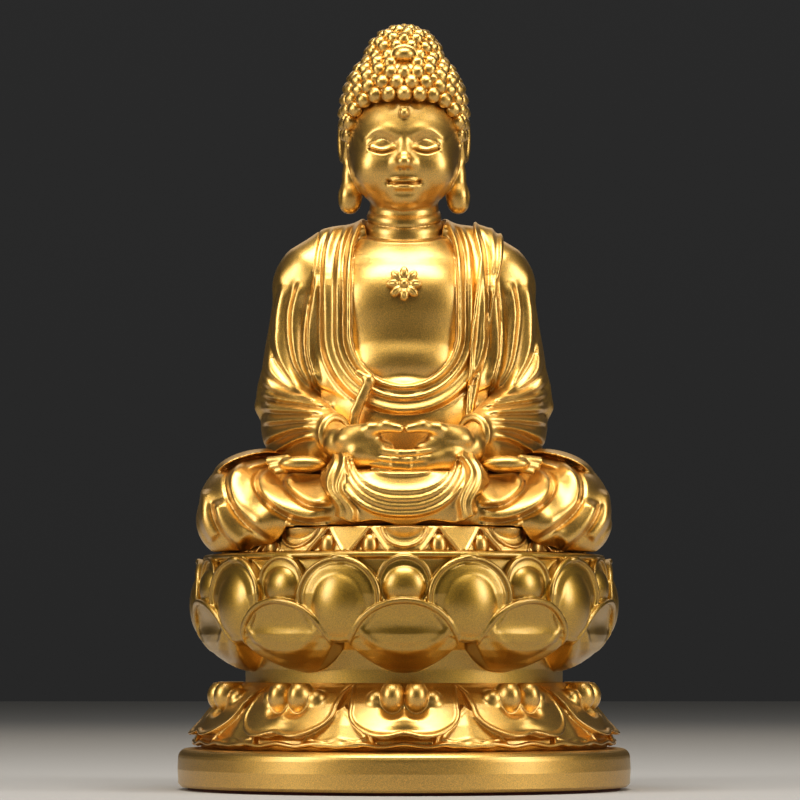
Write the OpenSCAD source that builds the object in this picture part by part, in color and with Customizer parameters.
// Seated Buddha on a round lotus pedestal, a cold-cast figure under satin gold lacquer.
// The figure and each tier of the pedestal are separate castings. The pedestal is hollow: its
// relic chamber is closed from below by a screwed cover plate.
// +Z is up, the figure faces -Y, and the origin is the centre of the felt's underside.

/* [Pedestal] */
// Diameter of the round plinth
plinth_d = 176; // [172:1:180]
// Height of the plinth's top edge above the shelf
plinth_top = 16; // [15:0.5:17]
// Height of the top of the inverted lotus
lower_top = 41.5; // [40:0.5:43]
// Diameter of the plain drum between the two lotuses
waist_d = 123.4; // [118:1:126]
// Height of the top of that drum
waist_top = 48; // [47:0.5:49]
// Height of the rim of the upright lotus
rim_z = 91; // [89:0.5:92]
// Diameter of the upright lotus over its widest petals
lotus_d = 166.4; // [162:1:168]
// Petals in one row of either lotus
petal_count = 10; // [8:1:12]
// Diameter of the relic chamber inside the pedestal
chamber_d = 68; // [60:1:72]

/* [Seat] */
// Diameter of the seat ring at its foot
seat_d = 140; // [134:1:142]
// Height of the seat that the figure rests on
seat_top = 100.6; // [99:0.2:101]
// Small leaves around the seat ring
leaf_count = 20; // [16:2:24]

/* [Figure] */
// Half the width over the knees
knee_x = 80.5; // [78:0.5:82]
// Height of the middle of a knee
knee_z = 107.5; // [106:0.5:109]
// Half the width over the elbows
elbow_x = 57; // [55:0.5:58]
// Height of the shoulder joint
shoulder_z = 199; // [197:0.5:201]
// Height of the centre of the head
head_z = 249; // [247:0.5:250]
// Half the width of the face
head_x = 22.5; // [21:0.5:24]
// Height of the top of the hair
statue_h = 300; // [298:0.5:302]

/* [Fastenings] */
// Diameter of the rods that clamp the pedestal's tiers
rod_d = 4; // [3:0.5:5]
// Diameter of the bolts that hold the figure down
bolt_d = 5; // [4:0.5:6]
// Diameter of the cover's countersunk screws
screw_d = 2.5; // [2:0.5:3]

/* [Hidden] */

gold = "goldenrod";
pale_gold = "gold";
brass = "darkkhaki";
steel = "silver";

fine = 96; // facets of the pedestal's round work
mid = 48; // facets of holes, bolts and inserts
tier = 54; // facets of the cast tiers
soft = 18; // facets of the ellipsoids that shape the figure
bud = 12; // facets of petals, leaves and fingers
joint_gap = 0.1; // glue line between castings of one body
loose = 0.3; // clearance round anything that comes off

felt_t = 1.2; // felt under the plinth
felt_r = [43, 84]; // inner and outer radius of the felt
plinth_r = plinth_d / 2;
plinth_edge = 3.5; // rounding of the plinth's upper edge
chamber_r = chamber_d / 2;
ledge_r = chamber_r + 2; // bore of the plinth above the cover's ledge
cover_r = 41.7;
cover_t = 3;
cover_z = felt_t; // underside of the cover, above the felt's
ledge_z = cover_z + cover_t + loose; // ledge the cover closes against

screw_count = 4;
screw_ring = 39; // radius of the circle of cover screws
screw_l = 8.5;
screw_head_r = screw_d;
screw_head_h = 1.4;
insert_r = screw_d / 2 + 0.95;
insert_l = 7;

rod_count = 3;
rod_ring = 49; // radius of the circle of tie rods
rod_z = [felt_t + 1, rim_z - 6]; // foot and top of a tie rod
nut_h = 3.2;
nut_af = 7; // width of a nut across its flats
washer_t = 0.8;
pocket_z = felt_t + 6; // roof of the pocket a nut sits in

plate_t = 4; // seat left above the chamber
plate_z = rim_z;
bolt_count = 3;
bolt_ring = 21; // radius of the circle of seat bolts
bolt_l = 20;
bolt_head_h = 4;
leg_insert_r = bolt_d / 2 + 1.4;
leg_insert_l = 12;

waist_r = waist_d / 2;
lotus_r = lotus_d / 2;
seat_r = seat_d / 2;
pitch = 360 / petal_count; // turn from one petal of a row to the next

dowel_r = 4; // the wooden dowels of the torso and the neck
dowel_x = 16;
dowel_z = [112, 142]; // foot and top of a torso dowel
neck_z = 214; // where the neck leaves the robe
neck_dowel_z = [200, 234]; // foot and top of the neck dowel

// Repeats its children evenly round the vertical axis
module around(count, radius, start = 0) {
    for (i = [0 : count - 1])
        rotate([0, 0, start + i * 360 / count])
            translate([radius, 0, 0])
                children();
}

// Upright cylinder from height z[0] to z[1]
module post(z, r, facets = mid) {
    translate([0, 0, z[0]])
        cylinder(h = z[1] - z[0], r = r, $fn = facets);
}

// Ellipsoid with half-axes s, swollen by grow
module egg(at, s, grow = 0, facets = soft) {
    translate(at)
        scale([s[0] + grow, s[1] + grow, s[2] + grow])
            sphere(r = 1, $fn = facets);
}

// Chain of hulls through a list of [place, half-axes] pairs
module chain(beads, grow = 0, facets = soft) {
    for (i = [0 : len(beads) - 2])
        hull() {
            egg(beads[i][0], beads[i][1], grow, facets);
            egg(beads[i + 1][0], beads[i + 1][1], grow, facets);
        }
}

// The same chain on the figure's other side
function other_side(beads) = [for (b = beads) [[-b[0][0], b[0][1], b[0][2]], b[1]]];

// ---------------------------------------------------------------- pedestal

module felt_ring() {
    color("dimgray")
        difference() {
            post([0, felt_t], felt_r[1], fine);
            post([-1, felt_t + 1], felt_r[0], fine);
        }
}

module plinth_outline() {
    barrel = 0.8;
    top_r = plinth_r - 1;
    polygon([
        [ledge_r, felt_t],
        [plinth_r - 1.5, felt_t],
        [plinth_r - 0.3, felt_t + 1.2],
        [plinth_r, plinth_top / 2],
        [top_r + barrel, plinth_top - plinth_edge],
        for (a = [15 : 15 : 90])
            [top_r + barrel - plinth_edge * (1 - cos(a)),
             plinth_top - plinth_edge * (1 - sin(a))],
        [ledge_r, plinth_top]
    ]);
}

module plinth() {
    color(gold)
        difference() {
            rotate_extrude($fn = fine)
                plinth_outline();
            post([0, ledge_z], cover_r + loose, fine);
            around(screw_count, screw_ring)
                post([ledge_z - 1, ledge_z + insert_l], insert_r);
            around(rod_count, rod_ring, 90)
                post([0, pocket_z], nut_af / 2 + 1.6);
            around(rod_count, rod_ring, 90)
                post([0, plinth_top + 1], rod_d / 2 + 0.2);
        }
}

module cover_plate() {
    color("darkgoldenrod")
        difference() {
            union() {
                post([cover_z, cover_z + cover_t], cover_r, fine);
                post([cover_z + cover_t - 1, cover_z + cover_t + 6], chamber_r - 2, fine);
            }
            post([cover_z + cover_t, cover_z + cover_t + 7], chamber_r - 5, fine);
            around(screw_count, screw_ring)
                post([0, cover_z + cover_t + 1], screw_d / 2 + 0.15);
            around(screw_count, screw_ring)
                translate([0, 0, cover_z - 0.01])
                    cylinder(h = screw_head_h, r1 = screw_head_r + 0.15,
                             r2 = screw_d / 2 + 0.15, $fn = mid);
        }
}

module cover_screws() {
    color(steel)
        around(screw_count, screw_ring)
            difference() {
                union() {
                    translate([0, 0, cover_z + 0.1])
                        cylinder(h = screw_head_h, r1 = screw_head_r, r2 = screw_d / 2,
                                 $fn = mid);
                    post([cover_z + 0.1, cover_z + screw_l], screw_d / 2);
                }
                translate([0, 0, cover_z])
                    cube([screw_head_r * 1.3, 0.5, 1.2], center = true);
                translate([0, 0, cover_z])
                    cube([0.5, screw_head_r * 1.3, 1.2], center = true);
            }
}

module cover_inserts() {
    color(brass)
        around(screw_count, screw_ring)
            difference() {
                post([ledge_z, ledge_z + insert_l - 0.2], insert_r);
                post([ledge_z - 1, ledge_z + insert_l + 1], screw_d / 2 + loose);
            }
}

// Clearance for the tie rods, right through a tier
module rod_holes(z) {
    around(rod_count, rod_ring, 90)
        post(z, rod_d / 2 + 0.25, 12);
}

// One hanging petal of the lower lotus, with its pair of curled bosses
module hanging_petal() {
    hull() {
        egg([73.5, 0, 29], [5.5, 18, 7.5], 0, bud);
        egg([79, 0, 22.4], [6, 21, 3.8], 0, bud);
    }
    for (s = [-1, 1])
        egg([69.3, s * 5.2, 36.4], [5.2, 5, 6.6], 0, bud);
}

module lower_lotus() {
    color(gold)
        difference() {
            union() {
                rotate_extrude($fn = tier)
                    polygon([
                        [chamber_r, plinth_top + joint_gap],
                        [79, plinth_top + joint_gap],
                        [82.5, plinth_top + 3],
                        [79.5, 24],
                        [73.5, 30],
                        [66.5, 37],
                        [waist_r + 0.5, lower_top],
                        [chamber_r, lower_top]
                    ]);
                around(petal_count, 0, -90)
                    hanging_petal();
            }
            post([plinth_top - 1, lower_top + 1], chamber_r, 36);
            post([lower_top, lower_top + 6], 80, 12);
            rod_holes([plinth_top - 1, lower_top + 1]);
        }
}

module waist_drum() {
    color(gold)
        difference() {
            post([lower_top + joint_gap, waist_top], waist_r, fine);
            post([lower_top - 1, waist_top + 1], chamber_r, fine);
            around(rod_count, rod_ring, 90)
                post([lower_top - 1, waist_top + 1], rod_d / 2 + 0.2);
        }
}

// One upright petal: a bulging shield from its foot to its tip
module upright_petal(r_foot, z_foot, r_tip, z_tip, half_w, depth) {
    mid_z = (z_foot + z_tip) / 2;
    hull() {
        egg([r_foot, 0, z_foot], [depth * 0.6, half_w * 0.35, 2.5], 0, 8);
        egg([(r_foot + r_tip) / 2, 0, mid_z + 1], [depth, half_w, (z_tip - z_foot) * 0.3],
            0, bud);
        egg([r_tip, 0, z_tip - 3], [depth * 0.6, half_w * 0.55, 3], 0, 8);
    }
}

module upper_lotus() {
    color(gold)
        difference() {
            union() {
                rotate_extrude($fn = tier)
                    polygon([
                        [chamber_r, waist_top + joint_gap],
                        [58.5, waist_top + joint_gap],
                        [66, 52],
                        [73, 60],
                        [76.5, 70],
                        [77, 80],
                        [78, rim_z - 2],
                        [77.6, rim_z],
                        [chamber_r, rim_z]
                    ]);
                around(petal_count, 0, -90)
                    upright_petal(65, 51, lotus_r - 6.5, 74, 21, 5.5);
                around(petal_count, 0, -90 + pitch / 2)
                    upright_petal(72, 61, lotus_r - 5, 89.5, 17, 5.8);
                around(petal_count, 0, -90)
                    upright_petal(75, 75, lotus_r - 5.6, 89.5, 11.5, 4.6);
            }
            post([waist_top - 1, rim_z + 1], chamber_r, 36);
            post([rim_z, rim_z + 6], 90, 12);
            rod_holes([waist_top - 1, rod_z[1] + 1]);
        }
}

module tie_rods() {
    color(steel)
        around(rod_count, rod_ring, 90)
            post(rod_z, rod_d / 2);
}

module tie_nuts() {
    color(steel)
        around(rod_count, rod_ring, 90)
            difference() {
                post([pocket_z - washer_t - nut_h, pocket_z - washer_t], nut_af / 2 / cos(30), 6);
                post([0, pocket_z], rod_d / 2 + 0.02);
            }
}

module tie_washers() {
    color(steel)
        around(rod_count, rod_ring, 90)
            difference() {
                post([pocket_z - washer_t, pocket_z], nut_af / 2 + 1.2);
                post([0, pocket_z + 1], rod_d / 2 + 0.15);
            }
}

// ---------------------------------------------------------------- seat

module seat_plate() {
    color(gold)
        difference() {
            rotate_extrude($fn = fine)
                polygon([
                    [0, plate_z + joint_gap],
                    [seat_r - 1.8, plate_z + joint_gap],
                    [seat_r - 4.6, seat_top],
                    [0, seat_top]
                ]);
            post([plate_z - 1, seat_top - plate_t], chamber_r, fine);
            around(bolt_count, bolt_ring, 90)
                post([plate_z, seat_top + 1], bolt_d / 2 + 0.25);
        }
}

// Ring of leaves: broad lobes with a small gap between each pair
module seat_leaves() {
    color(gold)
        difference() {
            union() {
                for (i = [0 : leaf_count - 1])
                    rotate([0, 0, -90 + i * 360 / leaf_count])
                        hull() {
                            egg([seat_r - 4, 0, plate_z + 3], [3, 5, 2.6], 0, 8);
                            egg([seat_r - 5.2, 0, seat_top - 2.6], [3, 9.6, 2.2], 0, 8);
                        }
            }
            translate([0, 0, plate_z - 10 + joint_gap])
                cylinder(h = 10, r = seat_r + 9, $fn = 32);
            translate([0, 0, plate_z])
                cylinder(h = seat_top - plate_z, r1 = seat_r - 1.7, r2 = seat_r - 4.5,
                         $fn = fine);
            post([seat_top - 0.4, seat_top + 6], seat_r + 9, 32);
        }
}

module seat_bolts() {
    color(steel)
        around(bolt_count, bolt_ring, 90)
            difference() {
                union() {
                    post([seat_top - plate_t - 1 - bolt_head_h, seat_top - plate_t - 1],
                         bolt_d * 0.85);
                    post([seat_top - plate_t - 2, seat_top - plate_t - 1 + bolt_l],
                         bolt_d / 2);
                }
                post([seat_top - plate_t - 2 - bolt_head_h, seat_top - plate_t - 3],
                     bolt_d * 0.42, 6);
            }
}

module seat_washers() {
    color(steel)
        around(bolt_count, bolt_ring, 90)
            difference() {
                post([seat_top - plate_t - 1, seat_top - plate_t], bolt_d);
                post([seat_top - plate_t - 2, seat_top + 1], bolt_d / 2 + 0.2);
            }
}

module leg_inserts() {
    color(brass)
        around(bolt_count, bolt_ring, 90)
            difference() {
                post([seat_top + 0.3, seat_top + leg_insert_l], leg_insert_r - joint_gap);
                post([seat_top, seat_top + leg_insert_l + 1], bolt_d / 2 + 0.02);
            }
}

// ---------------------------------------------------------------- figure

// The crossed legs under the robe: each thigh runs out to a knee, each shin back to the middle
knee_at = [knee_x - 20.5, -14, knee_z];
thigh = [
    [[26, 22, 112], [24, 22, 16]],
    [knee_at, [20.5, 28, 18.5]]
];
shin = [
    [knee_at, [20.5, 28, 18.5]],
    [[30, -40, 111], [24, 21, 14.5]],
    [[0, -45, 110.5], [24, 18, 11]]
];

// Legs, the robe between them, and the feet turned up on the thighs
module legs_form(grow = 0) {
    chain(thigh, grow);
    chain(other_side(thigh), grow);
    chain(shin, grow);
    chain(other_side(shin), grow);
    hull() {
        egg([26, 14, 112], [26, 30, 17], grow);
        egg([-26, 14, 112], [26, 30, 17], grow);
    }
    hull() {
        egg([36, -34, 124], [11, 9, 3.6], grow, bud);
        egg([49, -28, 123.5], [6, 6, 3.2], grow, bud);
    }
    hull() {
        egg([-36, -34, 124], [11, 9, 3.6], grow, bud);
        egg([-49, -28, 123.5], [6, 6, 3.2], grow, bud);
    }
}

module legs() {
    color(gold)
        difference() {
            legs_form();
            translate([0, 0, rim_z - 30 + joint_gap])
                cylinder(h = 30, r = 100, $fn = 12);
            translate([0, 0, rim_z])
                cylinder(h = seat_top - rim_z + joint_gap, r1 = seat_r + 1, r2 = seat_r + 0.4,
                         $fn = tier);
            around(bolt_count, bolt_ring, 90)
                post([seat_top - 1, seat_top + leg_insert_l + 0.2], leg_insert_r + 0.1, 20);
            around(bolt_count, bolt_ring, 90)
                post([seat_top - 1, seat_top + bolt_l], bolt_d / 2 + 0.3, 16);
            for (s = [-1, 1])
                translate([s * dowel_x, 8, 0])
                    post([dowel_z[0] - 0.5, dowel_z[1] + 1], dowel_r + 0.3, 20);
        }
}

// Cloth that falls from under the hands over the crossed shins
module lap_form(grow = 0) {
    for (s = [-1, 1]) {
        hull() {
            egg([0, -58, 117], [14, 8, 6], grow, bud);
            egg([s * 20, -56, 118], [8, 8, 9], grow, bud);
        }
        hull() {
            egg([0, -63.4, 106.6], [12, 4, 5], grow, bud);
            egg([s * 20, -56, 118], [8, 8, 9], grow, bud);
        }
        hull() {
            egg([s * 25, -50, 128], [4, 8, 5], grow, bud);
            egg([s * 20, -56, 118], [8, 8, 9], grow, bud);
        }
    }
    hull() {
        egg([0, -58, 117], [14, 8, 6], grow, bud);
        egg([0, -63.4, 106.6], [12, 4, 5], grow, bud);
    }
}

module lap_cloth() {
    color(pale_gold)
        difference() {
            lap_form();
            legs_form(joint_gap);
            hands_form(joint_gap);
            forearms_form(joint_gap);
            translate([0, 0, rim_z])
                cylinder(h = seat_top - rim_z + joint_gap, r = seat_r + 4, $fn = 48);
        }
}

module torso_dowels() {
    color("burlywood")
        for (s = [-1, 1])
            translate([s * dowel_x, 8, 0])
                post(dowel_z, dowel_r);
}

// Half-width, half-depth and middle of the trunk at some heights
trunk = [
    [118, 40, 28, 0],
    [136, 39, 29, -1],
    [150, 38.5, 29, -1],
    [165, 39, 28, -1],
    [180, 41, 27.5, -1],
    [192, 42, 26, -1],
    [201, 42, 23.5, 0],
    [208, 38, 20, 1],
    [213, 30, 17, 1.5],
    [217, 21, 15, 1.5],
    [220, 15.5, 14, 1]
];

module trunk_slice(row, grow) {
    translate([0, row[3], row[0]])
        scale([row[1] + grow, row[2] + grow, 1])
            cylinder(h = 0.01, r = 1, $fn = 32);
}

module torso_form(grow = 0) {
    for (i = [0 : len(trunk) - 2])
        hull() {
            trunk_slice(trunk[i], grow);
            trunk_slice(trunk[i + 1], grow);
        }
}

module torso() {
    color(gold)
        difference() {
            torso_form();
            legs_form(joint_gap);
            for (s = [-1, 1])
                translate([s * dowel_x, 8, 0])
                    post([dowel_z[0] - 1, dowel_z[1] + 0.5], dowel_r + 0.3, 20);
            post([neck_dowel_z[0] - 0.5, 240], dowel_r + 0.3, 20);
        }
}
// Upper arm from the shoulder to the elbow, then the forearm in to the wrist
arm = [
    [[32, 0, shoulder_z + 2], [14, 13, 13]],
    [[38, 0, shoulder_z - 8], [13.5, 15, 15]],
    [[41.5, -1, 168], [14, 16, 15]],
    [[43.5, -4, 149], [elbow_x - 43.5, 16, 13]],
    [[43, -8, 136], [elbow_x - 43.5, 16, 9]]
];
forearm = [
    [[43, -8, 141], [13, 14, 12]],
    [[32, -26, 140], [12, 12, 9]],
    [[24, -38, 138.5], [9, 9, 7]]
];

module forearms_form(grow = 0) {
    chain(forearm, grow, 16);
    chain(other_side(forearm), grow, 16);
}

module sleeve(side) {
    arm_beads = side > 0 ? arm : other_side(arm);
    forearm_beads = side > 0 ? forearm : other_side(forearm);
    color(gold)
        difference() {
            union() {
                chain(arm_beads, 0, soft);
                chain(forearm_beads, 0, 16);
            }
            torso_form(joint_gap);
            legs_form(joint_gap);
            translate([-side * 500 - side * 0.2, 0, 0])
                cube(1000, center = true);
        }
}

module right_sleeve() {
    sleeve(-1);
}

module left_sleeve() {
    sleeve(1);
}

// The left hand lies under the right one, palms up, and the thumbs meet above them
lower_hand = [
    [[25, -41, 131], [7, 6, 5.4]],
    [[12, -47, 127.6], [10, 8, 4]],
    [[-12, -48, 126], [9, 7, 3]]
];
upper_hand = [
    [[-25, -41, 132], [7, 6, 5.4]],
    [[-12, -47, 130.4], [10, 8, 4]],
    [[12, -48, 129.6], [9, 7, 2.6]]
];
lower_thumb = [
    [[23, -44, 134.5], [4, 4, 3]],
    [[1.6, -50, 136.6], [2.2, 2.2, 2.2]]
];
upper_thumb = [
    [[-23, -44, 134.5], [4, 4, 3]],
    [[-3, -50, 136.6], [2.2, 2.2, 2.2]]
];

module lower_hand_form(grow = 0) {
    chain(lower_hand, grow, bud);
    chain(lower_thumb, grow, bud);
}

module upper_hand_form(grow = 0) {
    chain(upper_hand, grow, bud);
    chain(upper_thumb, grow, bud);
}

module hands_form(grow = 0) {
    lower_hand_form(grow);
    upper_hand_form(grow);
}

module left_hand() {
    color(pale_gold)
        difference() {
            lower_hand_form();
            forearms_form(joint_gap);
            legs_form(joint_gap);
            torso_form(joint_gap);
        }
}

module right_hand() {
    color(pale_gold)
        difference() {
            upper_hand_form();
            lower_hand_form(joint_gap);
            forearms_form(joint_gap);
            legs_form(joint_gap);
            torso_form(joint_gap);
        }
}

// Broad band of the outer robe over the left shoulder, down to the lap
sash = [
    [[30, 8, 211], [8, 8, 5]],
    [[32, -10, 207], [8, 7, 7]],
    [[31, -20, 194], [7, 7, 8]],
    [[28, -25, 176], [5, 5, 9]],
    [[25, -27, 156], [4, 4, 9]],
    [[22, -28, 144], [3, 3, 5]]
];

module robe_sash() {
    color(gold)
        difference() {
            chain(sash, 0, 14);
            torso_form(joint_gap);
            chain(arm, joint_gap, soft);
            forearms_form(joint_gap);
            hands_form(joint_gap);
            post([neck_z - 8, 260], 20, 32);
        }
}

// Bow and ribbon end that hold the under robe closed
module sash_tie() {
    color(pale_gold)
        difference() {
            chain([
                [[-13, -30.5, 157.5], [2.6, 2.4, 2.6]],
                [[-16, -31, 151], [2.2, 2, 3]],
                [[-18.5, -31, 145], [2.4, 2, 3]],
                [[-19.5, -31, 141], [2.6, 2, 2]]
            ], 0, bud);
            torso_form(joint_gap);
            forearms_form(joint_gap);
            hands_form(joint_gap);
        }
}

// Plain eight-petalled rosette on the breast
module chest_emblem() {
    petals = 8;
    color(pale_gold)
        difference() {
            translate([0, -26.6, 195])
                rotate([90 + 8, 0, 0])
                    union() {
                        for (i = [0 : petals - 1])
                            rotate([0, 0, i * 360 / petals])
                                egg([4.1, 0, 0], [2.9, 1.7, 1.9], 0, bud);
                        egg([0, 0, 0], [3.2, 3.2, 2.6], 0, bud);
                    }
            torso_form(joint_gap);
        }
}

module neck_dowel() {
    color("burlywood")
        post(neck_dowel_z, dowel_r);
}

// Skull and face, neck, and the long ears
module head_form(grow = 0) {
    hull() {
        egg([0, 0, head_z + 8], [head_x, 23.5, 20], grow, 22);
        egg([0, -6.5, head_z - 9], [head_x * 0.74, 14, 13], grow, 22);
    }
    hull() {
        egg([0, 1, 236], [13, 13, 6], grow, 20);
        egg([0, 1, 221], [13, 13, 6], grow, 20);
    }
    for (s = [-1, 1])
        chain([
            [[s * 22.6, 1, 260], [2, 4.5, 5]],
            [[s * 23.4, 1, 246], [2, 4, 6]],
            [[s * 25, 0, 231], [2.4, 4.4, 6]]
        ], grow, bud);
}

module head() {
    color(pale_gold)
        difference() {
            head_form();
            torso_form(joint_gap);
            chain([arm[0], arm[1]], joint_gap, soft);
            chain(other_side([arm[0], arm[1]]), joint_gap, soft);
            post([190, neck_dowel_z[1] + 0.5], dowel_r + 0.3, 20);
        }
}

// Cap of hair with its crown bump, cut back to the hair line and round the ears
module hair_form(grow = 0) {
    difference() {
        union() {
            egg([0, 2.5, 260], [26, 27.5, 25.5], grow, 28);
            egg([0, 3.5, 284], [18.2, 19.5, statue_h - 284], grow, 24);
        }
        translate([-60, -120 - 14, 150])
            cube([120, 120, 117.5]);
        translate([-60, -60, 150])
            cube([120, 120, 84]);
        for (s = [-1, 1])
            hull() {
                egg([s * 26, -9, 252], [7, 12, 14], 0, bud);
                egg([s * 26, -6, 236], [7, 12, 10], 0, bud);
            }
    }
}

module hair_cap() {
    color("darkgoldenrod")
        difference() {
            hair_form();
            head_form(joint_gap);
            egg([0, -18.2, 284.5], [5, 4, 3.6], joint_gap, bud);
        }
}

module hair_jewel() {
    color(pale_gold)
        egg([0, -18.2, 284.5], [4.6, 3.6, 3.2], 0, 24);
}

module forehead_bead() {
    color(pale_gold)
        difference() {
            egg([0, -22.4, 262.5], [2.4, 2.2, 2.4], 0, 20);
            hull() {
                egg([0, 0, head_z + 8], [head_x, 23.5, 20], joint_gap, 22);
                egg([0, -6.5, head_z - 9], [head_x * 0.74, 14, 13], joint_gap, 22);
            }
        }
}

felt_ring();
plinth();
cover_plate();
cover_screws();
cover_inserts();
lower_lotus();
waist_drum();
upper_lotus();
tie_rods();
tie_nuts();
tie_washers();
seat_plate();
seat_leaves();
seat_bolts();
seat_washers();
leg_inserts();
legs();
lap_cloth();
torso_dowels();
torso();
robe_sash();
sash_tie();
right_sleeve();
left_sleeve();
right_hand();
left_hand();
chest_emblem();
neck_dowel();
head();
hair_cap();
hair_jewel();
forehead_bead();
